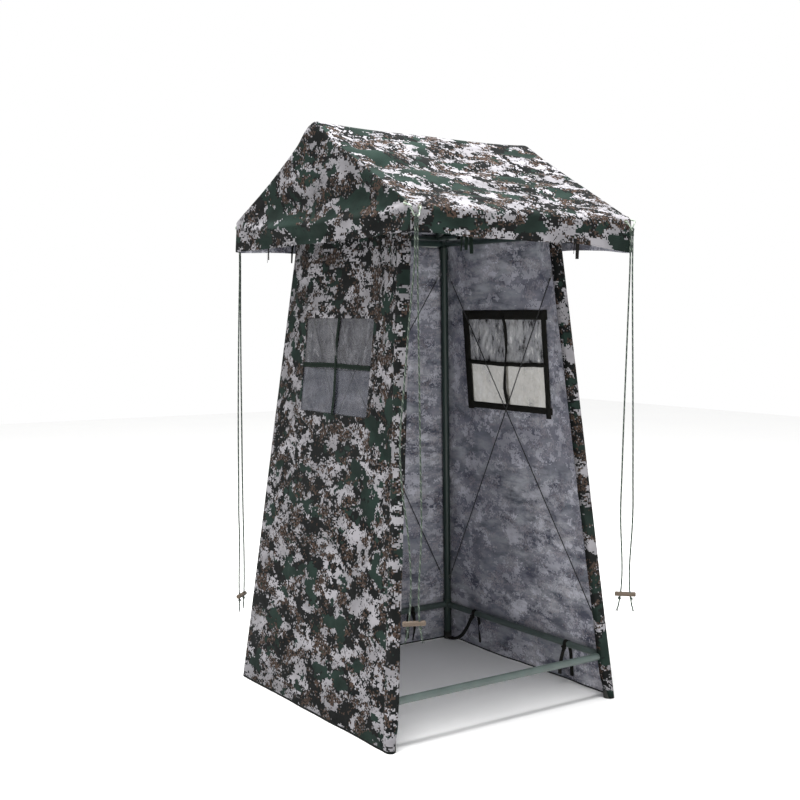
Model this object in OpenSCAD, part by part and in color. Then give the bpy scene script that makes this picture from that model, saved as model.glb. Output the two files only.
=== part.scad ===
// Sentry shelter: a walk-in field hide with a tapered tube frame, three fabric
// walls, an open front and a gabled roof that overhangs the walls.
// The ridge runs along X, the open front faces -Y and the ground is Z = 0.

/* [Body] */
// Outside width and depth of the walls at the ground
base_w = 1200; // [1100:10:1300]
// Outside width and depth of the walls at the top rails
top_w = 830; // [780:10:860]
// Height of the top rails' centre line
frame_h = 2005; // [1980:5:2030]
// Height of the bottom rails' centre line
rail_h = 185; // [150:5:230]

/* [Roof] */
// Length of the roof along the ridge
roof_len = 1140; // [1100:10:1200]
// Depth of the roof from eave to eave
roof_dep = 1354; // [1320:2:1400]
// Height of the ridge
ridge_h = 2440; // [2420:5:2480]
// Height of the eaves
eave_h = 2060; // [2055:1:2065]
// Drop of the valance below the eaves
valance = 110; // [90:5:130]

/* [Frame] */
// Outside diameter of the legs
leg_d = 35; // [32:1:36]
// Outside diameter of the rails, rafters and ridge pole
rail_d = 30; // [28:1:31]
// Wall thickness of the tubes
tube_t = 1.5; // [1:0.5:2]

/* [Windows] */
// Width of a window opening
window_w = 520; // [480:10:540]
// Height of a window opening
window_h = 400; // [360:10:420]
// Height of the windows' middle
window_z = 1446; // [1420:2:1470]
// Width of the webbing round a window
webbing_w = 45; // [35:1:50]

/* [Guy lines] */
// Diameter of the guy rope
rope_d = 7; // [6:0.5:8]
// Distance between a slider's two holes
hole_gap = 50; // [44:2:56]
// Length of a wooden slider
slider_len = 88; // [80:2:96]

/* [Hidden] */

$fn = 48;
CORNERS = [[-1, -1], [1, -1], [-1, 1], [1, 1]];
cloth = 3;             // thickness of the fabric solids
slack = 0.3;           // gap between separate pieces that lie together
seam_inset = 24;       // a leg's or rail's centre line, inside the fabric's outer face
roof_inset = 22;       // a roof tube's centre line, inside the cover's outer face
socket_d = 41;         // outside of the fittings on the legs
sleeve_d = 36;         // outside of the fittings on the rails
fit = 0.3;             // how much wider a socket's bore is than its tube
spigot_l = 50;         // length of a spigot inside a rail
hem_z = 4;             // height of the walls' lower hem above the ground

lean = (base_w - top_w) / 2 / frame_h;      // inward lean, per millimetre of height
lean_a = atan(lean);
pitch_a = atan((ridge_h - eave_h) / (roof_dep / 2));
joint_h = 1000;                             // where the upper and lower legs meet
rail_id = rail_d - 2 * tube_t;
leg_id = leg_d - 2 * tube_t;

// Half the outside width of the walls at a height
function half(z) = base_w / 2 - lean * z;
// Distance of a leg's centre line from the middle, at a height
function leg_c(z) = half(z) - seam_inset / cos(lean_a);
// A leg's centre at a height
function leg_at(c, z) = [c[0] * leg_c(z), c[1] * leg_c(z), z];

eave_x = roof_len / 2 - roof_inset;
eave_y = roof_dep / 2 - roof_inset;
apex_z = ridge_h - roof_inset / cos(pitch_a);
eave_z = apex_z - eave_y * tan(pitch_a);
rail_c = leg_c(rail_h);
head_c = leg_c(frame_h);

// ---- shared shapes ----

// A round bar between two points
module rod(p, q, d) {
    v = q - p;
    translate(p) rotate([0, acos(v[2] / norm(v)), atan2(v[1], v[0])]) cylinder(d = d, h = norm(v));
}

// A tube between two points
module tube(p, q, d, t = tube_t) {
    v = q - p;
    translate(p) rotate([0, acos(v[2] / norm(v)), atan2(v[1], v[0])]) difference() {
        cylinder(d = d, h = norm(v));
        translate([0, 0, -1]) cylinder(d = d - 2 * t, h = norm(v) + 2);
    }
}

// A wire ring lying in the XY plane
module ring(r, wire, angle = 360) {
    rotate_extrude(angle = angle) translate([r, 0]) circle(d = wire, $fn = 16);
}

// The plane of a wall, with X along it, Y up it and Z out of it; side 0 is the
// front, 1 the right, 2 the back and 3 the left
module on_wall(side) {
    rotate([0, 0, 90 * side]) translate([0, -base_w / 2, 0]) rotate([90 - lean_a, 0, 0]) children();
}

// Distance up a wall's plane of a height
function up(z) = z / cos(lean_a);

// ---- frame ----

module feet() {
    sole_t = 8;
    socket_top = 42;
    color("#20241f") for (c = CORNERS) difference() {
        union() {
            translate([c[0] * leg_c(0), c[1] * leg_c(0), 0]) cylinder(d = socket_d - 1, h = sole_t);
            rod(leg_at(c, sole_t - 2), leg_at(c, socket_top), socket_d - 2);
        }
        rod(leg_at(c, sole_t + 4), leg_at(c, socket_top + 30), leg_d + fit);
    }
}

module lower_leg(sx, sy) {
    c = [sx, sy];
    spigot_d = leg_id - 0.2;
    color("#2f4038") {
        tube(leg_at(c, 14), leg_at(c, joint_h), leg_d);
        tube(leg_at(c, joint_h - 15), leg_at(c, joint_h + 80), spigot_d);
        difference() {
            rod(leg_at(c, joint_h - 15), leg_at(c, joint_h - 3), leg_d - 1);
            rod(leg_at(c, joint_h - 20), leg_at(c, joint_h + 5), spigot_d - 2 * tube_t);
        }
    }
}

module upper_leg(sx, sy) {
    c = [sx, sy];
    color("#2f4038") tube(leg_at(c, joint_h + 0.5), leg_at(c, frame_h - 37), leg_d);
}

module bottom_corner_joints() {
    reach = 19;
    color("#26332c") for (c = CORNERS) difference() {
        union() {
            rod(leg_at(c, rail_h - 30), leg_at(c, rail_h + 30), socket_d);
            translate(leg_at(c, rail_h)) {
                for (d = [[c[0], 0], [0, c[1]]])
                    rod([-d[0] * reach, -d[1] * reach, 0],
                        [-d[0] * (reach + spigot_l), -d[1] * (reach + spigot_l), 0], rail_id - 0.2);
            }
        }
        rod(leg_at(c, rail_h - 50), leg_at(c, rail_h + 50), leg_d + fit);
    }
}

// A bottom rail on one side of the frame
module bottom_rail(side) {
    end = rail_c - 23.5;
    color("#5d7468") rotate([0, 0, 90 * side])
        tube([-end, -rail_c, rail_h], [end, -rail_c, rail_h], rail_d);
}

module leg_heads() {
    color("#26332c") for (c = CORNERS) {
        difference() {
            union() {
                rod(leg_at(c, frame_h - 75), leg_at(c, frame_h - 20), socket_d);
                translate([c[0] * head_c, c[1] * head_c, frame_h - 35]) cylinder(d = 30, h = 30);
                translate([c[0] * head_c, c[1] * head_c - 30, frame_h]) rotate([-90, 0, 0])
                    cylinder(d = sleeve_d, h = 60);
                rod([c[0] * (head_c - 16.5), c[1] * head_c, frame_h],
                    [c[0] * (head_c - 16.5 - spigot_l), c[1] * head_c, frame_h], rail_id - 0.2);
            }
            rod(leg_at(c, frame_h - 100), leg_at(c, frame_h - 36), leg_d + fit);
            translate([c[0] * head_c, c[1] * head_c - 40, frame_h]) rotate([-90, 0, 0])
                cylinder(d = rail_d + fit, h = 80);
        }
    }
}

// A top rail; s is -1 at the front and 1 at the back
module top_rail(s) {
    end = head_c - sleeve_d / 2 - 1;
    color("#2f4038") tube([-end, s * head_c, frame_h], [end, s * head_c, frame_h], rail_d);
}

// A bearer that carries the eaves; s is -1 on the left and 1 on the right
module roof_bearer(s) {
    end = eave_y + 13;
    color("#2f4038") tube([s * head_c, -end, frame_h], [s * head_c, end, frame_h], rail_d);
}

module eave_saddles() {
    color("#26332c") for (c = CORNERS) translate([c[0] * head_c, c[1] * eave_y, 0]) difference() {
        union() {
            translate([0, -15, frame_h]) rotate([-90, 0, 0]) cylinder(d = sleeve_d, h = 30);
            translate([-15, 0, eave_z]) rotate([0, 90, 0]) cylinder(d = sleeve_d, h = 30);
            translate([-10, -10, frame_h + 16]) cube([20, 20, eave_z - frame_h - 32]);
        }
        translate([0, -30, frame_h]) rotate([-90, 0, 0]) cylinder(d = rail_d + fit, h = 60);
        translate([-30, 0, eave_z]) rotate([0, 90, 0]) cylinder(d = rail_d + fit, h = 60);
    }
}

arm_x = 70;            // length of a corner joint's arm along the ridge's direction
arm_y = 110;           // length of its other two arms, which part at a sharp angle
stop_x = 22;           // where the tube in the short arm starts
stop_y = 66;           // where the tubes in the long arms start

// An eave rail across the front (s = -1) or the back (s = 1)
module eave_rail_x(s) {
    end = eave_x - stop_x - 1;
    color("#2f4038") tube([-end, s * eave_y, eave_z], [end, s * eave_y, eave_z], rail_d);
}

// An eave rail along the left (s = -1) or the right (s = 1) gable
module eave_rail_y(s) {
    end = eave_y - stop_y - 1;
    color("#2f4038") tube([s * eave_x, -end, eave_z], [s * eave_x, end, eave_z], rail_d);
}

module eave_corner_joints() {
    color("#26332c") for (c = CORNERS) translate([c[0] * eave_x, c[1] * eave_y, eave_z]) {
        up_dir = [0, -c[1] * cos(pitch_a), sin(pitch_a)];
        x_dir = [-c[0], 0, 0];
        y_dir = [0, -c[1], 0];
        difference() {
            union() {
                sphere(d = sleeve_d);
                rod([0, 0, 0], x_dir * arm_x, sleeve_d);
                rod([0, 0, 0], y_dir * arm_y, sleeve_d);
                rod([0, 0, 0], up_dir * arm_y, sleeve_d);
            }
            rod(x_dir * stop_x, x_dir * (arm_x + 10), rail_d + fit);
            rod(y_dir * stop_y, y_dir * (arm_y + 10), rail_d + fit);
            rod(up_dir * stop_y, up_dir * (arm_y + 10), rail_d + fit);
        }
    }
}

ridge_stop = 22;       // where the tubes start at a ridge tee's middle

// A rafter from an eave corner up to the ridge
module rafter(sx, sy) {
    up_dir = [0, -sy * cos(pitch_a), sin(pitch_a)];
    foot = [sx * eave_x, sy * eave_y, eave_z];
    run = eave_y / cos(pitch_a);
    color("#2f4038") tube(foot + up_dir * (stop_y + 1), foot + up_dir * (run - ridge_stop - 1), rail_d);
}

module ridge_tees() {
    arm = 65;
    color("#26332c") for (s = [-1, 1]) translate([s * eave_x, 0, apex_z]) {
        front = [0, -cos(pitch_a), -sin(pitch_a)];
        back = [0, cos(pitch_a), -sin(pitch_a)];
        inward = [-s, 0, 0];
        difference() {
            union() {
                sphere(d = sleeve_d);
                for (d = [front, back, inward]) rod([0, 0, 0], d * arm, sleeve_d);
            }
            for (d = [front, back, inward]) rod(d * ridge_stop, d * (arm + 10), rail_d + fit);
        }
    }
}

module ridge_pole() {
    end = eave_x - ridge_stop - 1;
    color("#2f4038") tube([-end, 0, apex_z], [end, 0, apex_z], rail_d);
}

// ---- fabric ----

// The roof's outline in the YZ plane, shrunk by a thickness
module roof_outline(t) {
    y = roof_dep / 2 - t;
    top = ridge_h - t / cos(pitch_a);
    polygon([[-y, eave_h - valance], [y, eave_h - valance], [y, top - y * tan(pitch_a)], [0, top],
        [-y, top - y * tan(pitch_a)]]);
}

module roof_cover() {
    color("#6f7467") difference() {
        translate([-roof_len / 2, 0, 0]) rotate([90, 0, 90]) linear_extrude(roof_len) roof_outline(0);
        translate([-roof_len / 2 + cloth, 0, 0]) rotate([90, 0, 90])
            linear_extrude(roof_len - 2 * cloth) roof_outline(cloth);
        translate([-roof_len / 2 + cloth, -roof_dep / 2 + cloth, eave_h - valance - 10])
            cube([roof_len - 2 * cloth, roof_dep - 2 * cloth, 20]);
    }
}

// A wall's plane sheet from the hem to a height, less an inset at each side
module wall_sheet(z_top, inset) {
    b = half(hem_z) - inset;
    t = half(z_top) - inset;
    translate([0, 0, -cloth]) linear_extrude(cloth)
        polygon([[-b, up(hem_z)], [b, up(hem_z)], [t, up(z_top)], [-t, up(z_top)]]);
}

// A side wall with its window opening
module side_wall(side) {
    color("#6f7467") on_wall(side) difference() {
        wall_sheet(frame_h + 12, 0);
        translate([-window_w / 2, up(window_z) - window_h / 2, -cloth - 1])
            cube([window_w, window_h, cloth + 2]);
    }
}

module back_wall() {
    color("#6f7467") on_wall(2) wall_sheet(frame_h - 18, cloth + slack);
}

// The strips of the side walls that turn round the two front legs
module leg_sleeves() {
    sleeve_w = 46;
    edge = cloth + slack;
    z_top = frame_h - 20;
    color("#6f7467") on_wall(0) for (s = [-1, 1]) translate([0, 0, -cloth]) linear_extrude(cloth)
        polygon([for (p = [[half(hem_z) - edge, hem_z], [half(hem_z) - sleeve_w, hem_z],
            [half(z_top) - sleeve_w, z_top], [half(z_top) - edge, z_top]]) [s * p[0], up(p[1])]]);
}

// ---- windows ----

module window_pane(side) {
    gap = 1;
    color([0.8, 0.85, 0.85, 0.4]) on_wall(side)
        translate([-window_w / 2 + gap / 2, up(window_z) - window_h / 2 + gap / 2, -2.4])
            cube([window_w - gap, window_h - gap, 1]);
}

// The webbing round a window on its inner face, and the crossed straps on both faces
module window_trim(side) {
    strap_w = 20;
    inner_t = 2;
    outer_t = 1;
    color("#1d1f1c") on_wall(side) translate([0, up(window_z), 0]) {
        translate([0, 0, -cloth - slack - inner_t]) {
            difference() {
                translate([-window_w / 2 - webbing_w, -window_h / 2 - webbing_w, 0])
                    cube([window_w + 2 * webbing_w, window_h + 2 * webbing_w, inner_t]);
                translate([-window_w / 2, -window_h / 2, -1]) cube([window_w, window_h, inner_t + 2]);
            }
            translate([-strap_w / 2, -window_h / 2 - 1, 0]) cube([strap_w, window_h + 2, inner_t]);
            translate([-window_w / 2 - 1, -strap_w / 2, 0]) cube([window_w + 2, strap_w, inner_t]);
        }
        translate([0, 0, -1.2]) {
            translate([-strap_w / 2, -window_h / 2 + 1, 0]) cube([strap_w, window_h - 2, outer_t]);
            translate([-window_w / 2 + 1, -strap_w / 2, 0]) cube([window_w - 2, strap_w, outer_t]);
        }
    }
}

// ---- ties ----

// A tape tied round a tube along X, with two tails that hang behind the valance
module tie(x, y, z) {
    tape_w = 22;
    drop = 62;
    translate([x, y, z]) {
        rotate([0, 90, 0]) difference() {
            translate([0, 0, -tape_w / 2]) cylinder(d = rail_d + 4, h = tape_w);
            translate([0, 0, -tape_w]) cylinder(d = rail_d + 0.6, h = 2 * tape_w);
        }
        for (s = [-1, 1]) translate([s * 13 - tape_w / 2, -rail_d / 2 - 1.8, -rail_d / 2 - 1])
            translate([0, 0, -drop - eave_z + eave_h - valance + 10]) cube([tape_w - 2, 1.5, drop
                + eave_z - eave_h + valance + 8]);
    }
}

module valance_ties() {
    tie_x = 285;
    tie_y = 455;
    color("#1f2a22") {
        for (x = [-tie_x, tie_x]) {
            tie(x, -eave_y, eave_z);
            rotate([0, 0, 180]) tie(-x, -eave_y, eave_z);
        }
        rotate([0, 0, 90]) tie(tie_y, -eave_x, eave_z);
        rotate([0, 0, -90]) tie(-tie_y, -eave_x, eave_z);
    }
}

// Straps from the walls' lower hem that go round the bottom rails
module rail_straps() {
    strap_w = 25;
    strap_x = 330;
    color("#1d2420") for (side = [1, 2, 3], x = [-strap_x, strap_x]) {
        rotate([0, 0, 90 * side]) translate([x, -rail_c, rail_h]) rotate([0, 90, 0]) difference() {
            translate([0, 0, -strap_w / 2]) cylinder(d = rail_d + 4, h = strap_w);
            translate([0, 0, -strap_w]) cylinder(d = rail_d + 0.6, h = 2 * strap_w);
        }
        on_wall(side) translate([x - strap_w / 2, up(30), -cloth - slack - 1.5])
            cube([strap_w, up(rail_h) - up(30), 1.5]);
    }
}

// ---- wall braces ----

ring_r = 9;            // radius of a brace ring's centre line
wire = 3;              // wire of the rings and hooks
brace_top = 1860;      // height of the upper brace rings
brace_low = 340;       // height of the lower brace rings
brace_d = 5;           // diameter of the brace cords
hook_r = 5.5;          // radius of a hook's bend
hook_l = 26;           // length of a hook's shank

// A brace's ring centre in a wall's plane; s is the side, z the height and
// layer 1 or -1 keeps the two crossing cords apart
function ring_at(s, z, layer) = [s * (leg_c(z) - leg_d / 2 - ring_r - wire / 2 - 0.3), up(z),
    -seam_inset + 3.5 * layer];
// The direction of the cord that runs down from an upper ring on side s
function brace_dir(s) = let (v = ring_at(-s, brace_low, 0) - ring_at(s, brace_top, 0)) v / norm(v);
hook_at = ring_r - wire - 0.15 + hook_r;   // from a ring's centre to the middle of a hook's bend
hook_reach = hook_at + hook_r;             // from a ring's centre to the start of the shank

module brace_rings() {
    color("#3a3d3a") for (side = [1, 2, 3]) on_wall(side) for (s = [-1, 1]) {
        translate(ring_at(s, brace_top, s)) ring(ring_r, wire);
        translate(ring_at(-s, brace_low, s)) ring(ring_r, wire);
    }
}

// A hook round a ring's wire, with its shank along a direction in the XY plane
module hook(dir) {
    rotate([0, 0, atan2(dir[1], dir[0])]) {
        translate([hook_at, 0, 0]) rotate([90, 0, 0]) ring(hook_r, wire, 300);
        rod([hook_reach, 0, 0], [hook_reach + hook_l, 0, 0], wire + 1);
    }
}

module brace_hooks() {
    color("#3a3d3a") for (side = [1, 2, 3]) on_wall(side) for (s = [-1, 1]) {
        translate(ring_at(s, brace_top, s)) hook(brace_dir(s));
        translate(ring_at(-s, brace_low, s)) hook(-brace_dir(s));
    }
}

module brace_cords(side) {
    start = hook_reach + hook_l + 0.2;
    color("#1c1c1c") on_wall(side) for (s = [-1, 1])
        rod(ring_at(s, brace_top, s) + brace_dir(s) * start,
            ring_at(-s, brace_low, s) - brace_dir(s) * start, brace_d);
}

// ---- guy lines ----

// Where a guy line hangs from, just outside the valance by a roof corner
hang_x = roof_len / 2 - 18;
hang_y = roof_dep / 2 + 13;
hang_z = eave_h - 42;
// How far below that point each slider rests, in the order of CORNERS
slider_drop = [1500, 1535, 1665, 1600];
// The turn of each slider about its rope, which hangs with a twist
slider_turn = [-25, -45, 40, 20];
slider_d = 20;

// The eyelets: one in the gable and one in the valance, on either side of a corner
function gable_eyelet(c) = [c[0] * roof_len / 2, c[1] * (roof_dep / 2 - 32), eave_h + 6];
function valance_eyelet(c) = [c[0] * (roof_len / 2 - 42), c[1] * roof_dep / 2, eave_h - 10];
function hang_at(c) = [c[0] * hang_x, c[1] * hang_y, hang_z];
sling_out = 6;         // how far the sling stands off the fabric

module roof_eyelets() {
    color("#8a8f86") for (c = CORNERS) {
        translate(gable_eyelet(c)) rotate([0, c[0] * 90, 0]) translate([0, 0, slack]) difference() {
            cylinder(d = 20, h = 1.5);
            translate([0, 0, -1]) cylinder(d = 9, h = 4);
        }
        translate(valance_eyelet(c)) rotate([-c[1] * 90, 0, 0]) translate([0, 0, slack]) difference() {
            cylinder(d = 20, h = 1.5);
            translate([0, 0, -1]) cylinder(d = 9, h = 4);
        }
    }
}

// Each sling has a short level bight that its guy line swings on
module corner_slings() {
    stand = slack + 1.5 + rope_d / 2 + 0.2;
    bight = 16;
    color("#4a6350") for (c = CORNERS) {
        a = gable_eyelet(c) + [c[0] * stand, 0, 0];
        bend = [c[0] * (roof_len / 2 + sling_out), c[1] * (roof_dep / 2 + sling_out), eave_h - 6];
        b = valance_eyelet(c) + [0, c[1] * stand, 0];
        half_bight = [c[0], -c[1], 0] * bight / 2 / sqrt(2);
        path = [a, bend, hang_at(c) + half_bight, hang_at(c) - half_bight, b];
        for (i = [0:3]) rod(path[i], path[i + 1], rope_d - 1);
        for (p = path) translate(p) sphere(d = rope_d);
    }
}

// One strand of a guy line, swept along its points
function strand_points(i, s) = let (
    drop = slider_drop[i],
    bow = i == 0 && s == -1 ? 40 : 4
) [
    [s * 4.2, 0, -24], [s * 4.6, 0, -60], [s * 5, 0, -150], [s * (7 + bow / 4), 2, -300],
    [s * (12 + bow * 0.7), 4, -600], [s * (16 + bow), 4, -850], [s * (21 + bow * 0.6), 2, 480 - drop],
    [s * (hole_gap / 2 + bow * 0.1), 1, 370 - drop], [s * hole_gap / 2, 0, 335 - drop],
    [s * hole_gap / 2, 0, -drop - 40], [s * (hole_gap / 2 + 4), s * 2, -drop - 62],
    [s * (hole_gap / 2 + 10), s * 3, -drop - 84],
];
SIDES = 8;

// A round tube through a list of points that run mostly downwards
module swept(points, d) {
    n = len(points);
    rings = [for (k = [0:n - 1], j = [0:SIDES - 1]) points[k]
        + [d / 2 * cos(360 * j / SIDES), d / 2 * sin(360 * j / SIDES), 0]];
    side_faces = [for (k = [0:n - 2], j = [0:SIDES - 1]) let (m = (j + 1) % SIDES)
        [k * SIDES + j, k * SIDES + m, (k + 1) * SIDES + m, (k + 1) * SIDES + j]];
    top = [for (j = [SIDES - 1:-1:0]) j];
    bottom = [for (j = [0:SIDES - 1]) (n - 1) * SIDES + j];
    polyhedron(rings, concat(side_faces, [top], [bottom]), convexity = 4);
}

// The two strands of a guy line with its top loop and knot, its end knots and their tails
module guy_rope(i) {
    c = CORNERS[i];
    knot_z = -slider_drop[i] - slider_d / 2 - 8.5;
    color("#4a6350") translate(hang_at(c)) {
        rotate([0, 90, atan2(-c[1], c[0])]) ring(rope_d + 0.3, rope_d);
        translate([0, 0, -26]) cylinder(d = 19, h = 21);
        rotate([0, 0, slider_turn[i]]) for (s = [-1, 1]) {
            swept(strand_points(i, s), rope_d);
            translate([s * hole_gap / 2, 0, knot_z]) sphere(d = 16, $fn = 24);
        }
    }
}

// A wooden slider with a hole for each strand
module guy_slider(i) {
    chamfer = 3;
    r = slider_d / 2;
    color("#9a7560") translate(hang_at(CORNERS[i]) - [0, 0, slider_drop[i]])
        rotate([0, 0, slider_turn[i]]) difference() {
            translate([-slider_len / 2, 0, 0]) rotate([0, 90, 0]) rotate_extrude() polygon([[0, 0],
                [r - chamfer, 0], [r, chamfer], [r, slider_len - chamfer], [r - chamfer, slider_len],
                [0, slider_len]]);
            for (s = [-1, 1]) translate([s * hole_gap / 2, 0, -slider_d]) cylinder(d = rope_d + 2.4,
                h = 2 * slider_d);
        }
}

feet();
lower_leg(-1, -1);  // lower_leg_front_left
lower_leg(1, -1);  // lower_leg_front_right
lower_leg(-1, 1);  // lower_leg_rear_left
lower_leg(1, 1);  // lower_leg_rear_right
upper_leg(-1, -1);  // upper_leg_front_left
upper_leg(1, -1);  // upper_leg_front_right
upper_leg(-1, 1);  // upper_leg_rear_left
upper_leg(1, 1);  // upper_leg_rear_right
bottom_corner_joints();
bottom_rail(0);  // bottom_rail_front
bottom_rail(1);  // bottom_rail_right
bottom_rail(2);  // bottom_rail_back
bottom_rail(3);  // bottom_rail_left
leg_heads();
top_rail(-1);  // top_rail_front
top_rail(1);  // top_rail_back
roof_bearer(-1);  // roof_bearer_left
roof_bearer(1);  // roof_bearer_right
eave_saddles();
eave_rail_x(-1);  // eave_rail_front
eave_rail_x(1);  // eave_rail_back
eave_rail_y(-1);  // eave_rail_left
eave_rail_y(1);  // eave_rail_right
eave_corner_joints();
rafter(-1, -1);  // rafter_front_left
rafter(1, -1);  // rafter_front_right
rafter(-1, 1);  // rafter_rear_left
rafter(1, 1);  // rafter_rear_right
ridge_tees();
ridge_pole();
roof_cover();
side_wall(1);  // right_wall
side_wall(3);  // left_wall
back_wall();
leg_sleeves();
window_pane(1);  // window_pane_right
window_pane(3);  // window_pane_left
window_trim(1);  // window_trim_right
window_trim(3);  // window_trim_left
valance_ties();
rail_straps();
brace_cords(1);  // brace_cords_right
brace_cords(2);  // brace_cords_back
brace_cords(3);  // brace_cords_left
brace_rings();
brace_hooks();
corner_slings();
roof_eyelets();
guy_rope(0);  // guy_rope_front_left
guy_rope(1);  // guy_rope_front_right
guy_rope(2);  // guy_rope_rear_left
guy_rope(3);  // guy_rope_rear_right
guy_slider(0);  // guy_slider_front_left
guy_slider(1);  // guy_slider_front_right
guy_slider(2);  // guy_slider_rear_left
guy_slider(3);  // guy_slider_rear_right
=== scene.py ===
"""Visual model of a walk-in sentry shelter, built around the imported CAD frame.

All sizes are in metres. The ridge runs along X, the open front faces -Y and the ground is Z = 0.
"""

from math import atan, atan2, ceil, cos, hypot, pi, radians, sin

import bmesh
import bpy
import numpy as np
from mathutils import Matrix, Vector, noise


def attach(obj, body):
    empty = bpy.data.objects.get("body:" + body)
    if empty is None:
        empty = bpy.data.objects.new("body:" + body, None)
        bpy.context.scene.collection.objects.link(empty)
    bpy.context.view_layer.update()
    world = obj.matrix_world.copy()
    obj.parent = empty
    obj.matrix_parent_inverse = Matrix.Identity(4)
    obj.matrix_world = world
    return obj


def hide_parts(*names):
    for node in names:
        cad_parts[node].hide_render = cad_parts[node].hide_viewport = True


# ---- sizes, the same as in the CAD source ----

BASE_W, TOP_W = 1.200, 0.830  # outside width of the walls, at the ground and at the top rails
FRAME_H, RAIL_H = 2.005, 0.185  # heights of the top rails and of the bottom rails
ROOF_L, ROOF_D = 1.140, 1.354  # roof along the ridge, and from eave to eave
RIDGE_H, EAVE_H, VALANCE = 2.440, 2.060, 0.110
LEG_D, RAIL_D = 0.035, 0.030
WINDOW_W, WINDOW_H, WINDOW_Z = 0.520, 0.400, 1.446
ROPE_D, HOLE_GAP = 0.007, 0.050
SEAM_INSET, ROOF_INSET = 0.024, 0.022  # a fabric's outer face to the middle of its tube
HEM_Z = 0.0008
LEAN = (BASE_W - TOP_W) / 2 / FRAME_H
LEAN_COS = cos(atan(LEAN))
HALF_L, HALF_D, RISE = 0.5 * ROOF_L, 0.5 * ROOF_D, RIDGE_H - EAVE_H
PITCH = atan(RISE / HALF_D)
EAVE_X, EAVE_Y = HALF_L - ROOF_INSET, HALF_D - ROOF_INSET
EAVE_Z = RIDGE_H - ROOF_INSET / cos(PITCH) - EAVE_Y * RISE / HALF_D
FRONT, RIGHT, BACK, LEFT = range(4)  # the walls, each a quarter turn on from the last
SIDES = ((RIGHT, "right"), (BACK, "back"), (LEFT, "left"))
CORNERS = {"front_left": (-1, -1), "front_right": (1, -1), "rear_left": (-1, 1),
           "rear_right": (1, 1)}
# How far a corner's slider hangs below its rope's hanging point, and how it is turned.
SLIDER_DROP = {"front_left": 1.500, "front_right": 1.535, "rear_left": 1.665, "rear_right": 1.600}
SLIDER_TURN = {"front_left": -25, "front_right": -45, "rear_left": 40, "rear_right": 20}
UP = Vector((0, 0, 1))


def half(z):
    """Half the outside width of the walls at a height."""
    return BASE_W / 2 - LEAN * z


def facing(side):
    """Turns the front wall's points onto another wall."""
    return Matrix.Rotation(side * pi / 2, 3, "Z")


def plan_point(side, along, depth, z):
    """A point at a height, along a wall and at a depth behind its outer face."""
    return facing(side) @ Vector((along, -half(z) + depth, z))


def hang_point(corner):
    """Where a corner's guy line hangs from."""
    sx, sy = CORNERS[corner]
    return Vector((sx * (HALF_L - 0.018), sy * (HALF_D + 0.013), EAVE_H - 0.042))


def linked(name, data):
    """A new object in the scene."""
    thing = bpy.data.objects.new(name, data)
    bpy.context.scene.collection.objects.link(thing)
    return thing


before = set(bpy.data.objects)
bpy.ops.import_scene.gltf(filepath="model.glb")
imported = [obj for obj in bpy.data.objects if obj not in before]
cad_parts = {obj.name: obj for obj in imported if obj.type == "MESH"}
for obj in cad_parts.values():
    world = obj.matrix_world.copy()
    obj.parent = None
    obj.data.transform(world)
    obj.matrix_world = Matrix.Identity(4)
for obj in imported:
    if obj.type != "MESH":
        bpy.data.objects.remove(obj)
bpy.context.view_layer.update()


# ---- camera ----


def add_camera():
    """The photograph's view: low, from the front and the left."""
    data = bpy.data.cameras.new("camera")
    data.lens = 52.9
    data.sensor_width = 36
    camera = linked("camera", data)
    turn, tilt, roll = radians(-35.037), radians(3.992), radians(0.268)
    look = (Matrix.Rotation(turn, 4, "Z") @ Matrix.Rotation(pi / 2 - tilt, 4, "X")
            @ Matrix.Rotation(roll, 4, "Z"))
    camera.matrix_world = Matrix.Translation((-3.0595, -4.1683, 1.6475)) @ look
    bpy.context.scene.camera = camera


add_camera()

# ---- materials ----


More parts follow.
